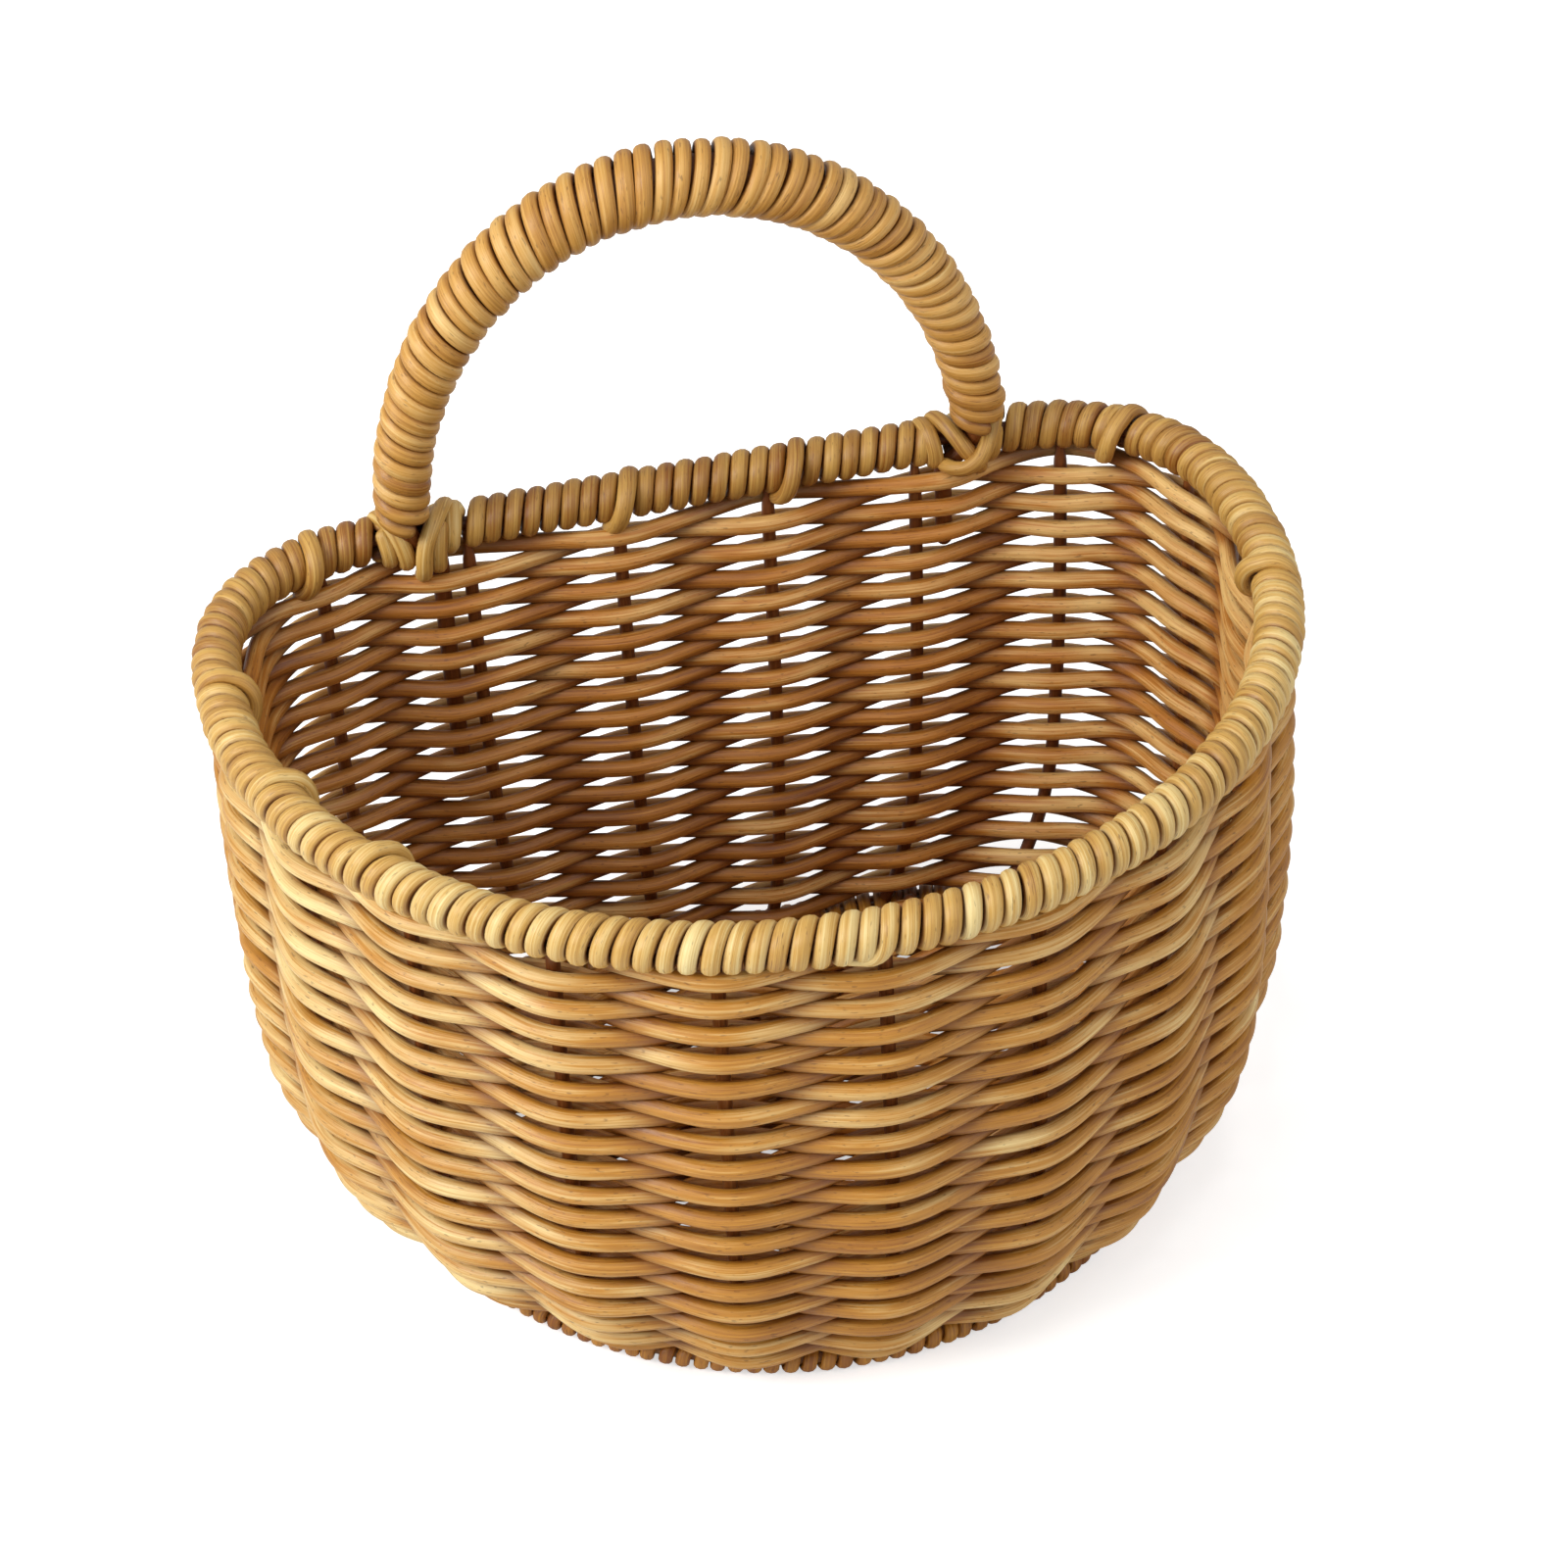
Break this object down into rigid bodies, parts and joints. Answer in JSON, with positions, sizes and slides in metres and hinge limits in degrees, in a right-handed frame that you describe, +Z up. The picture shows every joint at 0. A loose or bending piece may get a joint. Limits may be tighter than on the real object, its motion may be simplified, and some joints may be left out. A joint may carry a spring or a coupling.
{
  "type": "wall basket",
  "caption": "Half-moon rattan wall basket with a flat back, a bowed twined front, a wrapped rim and a wrapped hoop handle at the back.",
  "frame": {"origin": "on the floor under the middle of the basket's box", "axes": "+Z up out of the open top, +Y towards the wall behind the flat back, +X along the back"},
  "size_m": [0.3, 0.22, 0.2826],
  "materials": {
    "rim_cane": "pale straw rattan, satin",
    "weave_cane": "honey rattan, satin",
    "stake_cane": "darker rattan, dull",
    "handle_cane": "orange-tan rattan, satin",
    "core_cane": "rattan in the wraps' shadow, dull"
  },
  "bodies": {
    "root": {"floor_cane": "weave_cane", "floor_stick_01": "stake_cane", "floor_stick_02": "stake_cane", "floor_stick_03": "stake_cane", "foot_ring": "weave_cane", "handle_core": "core_cane", "handle_wrap_01": "handle_cane", "handle_wrap_02": "handle_cane", "handle_wrap_03": "handle_cane", "handle_wrap_04": "handle_cane", "left_leg_lashing_inner": "rim_cane", "left_leg_lashing_outer": "rim_cane", "right_leg_lashing_inner": "rim_cane", "right_leg_lashing_outer": "rim_cane", "rim_core": "core_cane", "rim_wrap_01": "rim_cane", "rim_wrap_02": "rim_cane", "rim_wrap_03": "rim_cane", "rim_wrap_04": "rim_cane", "rim_wrap_05": "rim_cane", "rim_wrap_06": "rim_cane", "rim_wrap_07": "rim_cane", "rim_wrap_08": "rim_cane", "stake_01": "stake_cane", "stake_02": "stake_cane", "stake_03": "stake_cane", "stake_04": "stake_cane", "stake_05": "stake_cane", "stake_06": "stake_cane", "stake_07": "stake_cane", "stake_08": "stake_cane", "stake_09": "stake_cane", "stake_10": "stake_cane", "stake_11": "stake_cane", "stake_12": "stake_cane", "stake_13": "stake_cane", "stake_14": "stake_cane", "stake_15": "stake_cane", "stake_16": "stake_cane", "stake_17": "stake_cane", "stake_18": "stake_cane", "stake_19": "stake_cane", "weave_row_01": "weave_cane", "weave_row_02": "weave_cane", "weave_row_03": "weave_cane", "weave_row_04": "weave_cane", "weave_row_05": "weave_cane", "weave_row_06": "weave_cane", "weave_row_07": "weave_cane", "weave_row_08": "weave_cane", "weave_row_09": "weave_cane", "weave_row_10": "weave_cane", "weave_row_11": "weave_cane", "weave_row_12": "weave_cane", "weave_row_13": "weave_cane", "weave_row_14": "weave_cane", "weave_row_15": "weave_cane", "weave_row_16": "weave_cane", "weave_row_17": "weave_cane"}
  },
  "joints": []
}
